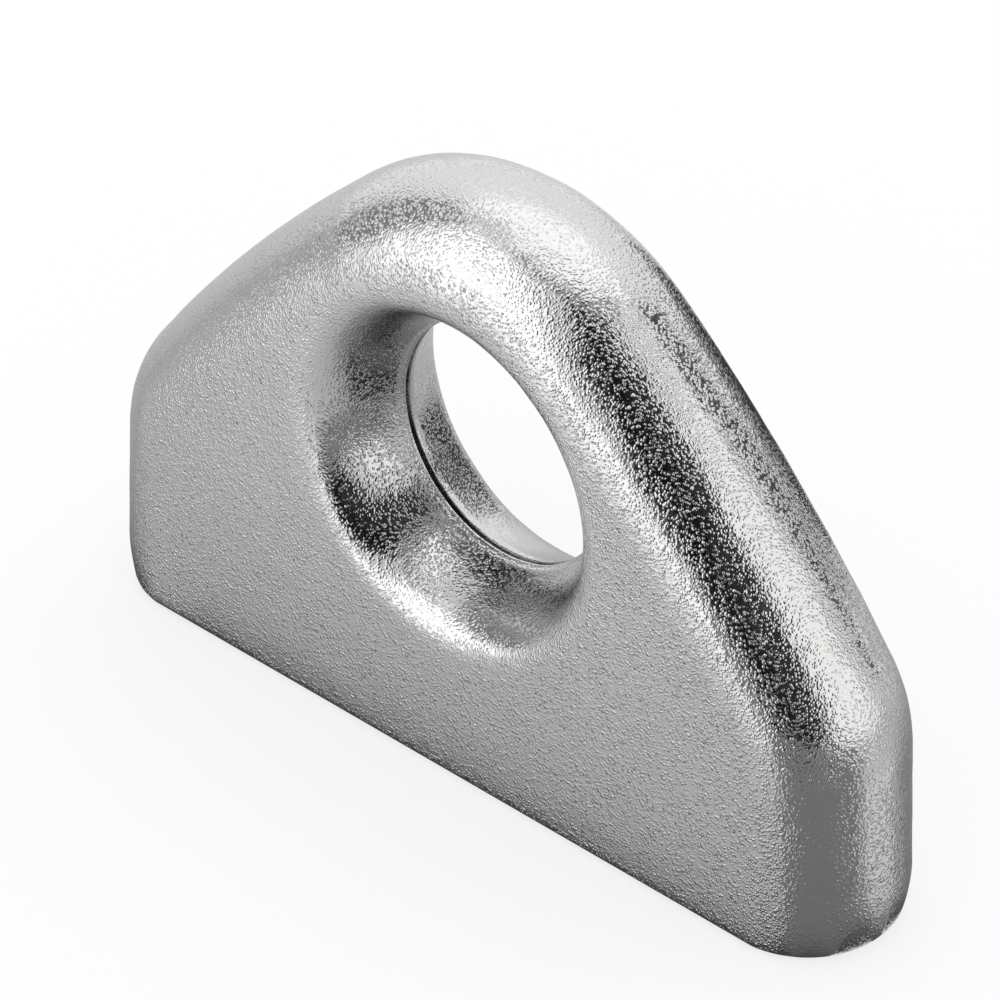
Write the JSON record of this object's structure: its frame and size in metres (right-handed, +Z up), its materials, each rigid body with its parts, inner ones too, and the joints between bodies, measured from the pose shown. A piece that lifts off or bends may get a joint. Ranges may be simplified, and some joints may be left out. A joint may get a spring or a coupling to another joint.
{
  "type": "bow eye",
  "caption": "Solid cast metal bow eye: flat base, rounded ends, bowed slopes to an arched crown, one flared eye through it and blind tapped holes in its base.",
  "frame": {"origin": "middle of the flat base face", "axes": "+X along the base, +Y along the eye's axis, +Z up from the base to the crown"},
  "size_m": [0.0998, 0.019, 0.0645],
  "materials": {
    "cast_metal": "bright cast skin, satin with a fine pebbled grain"
  },
  "bodies": {
    "root": {"bow_eye": "cast_metal"}
  },
  "joints": []
}
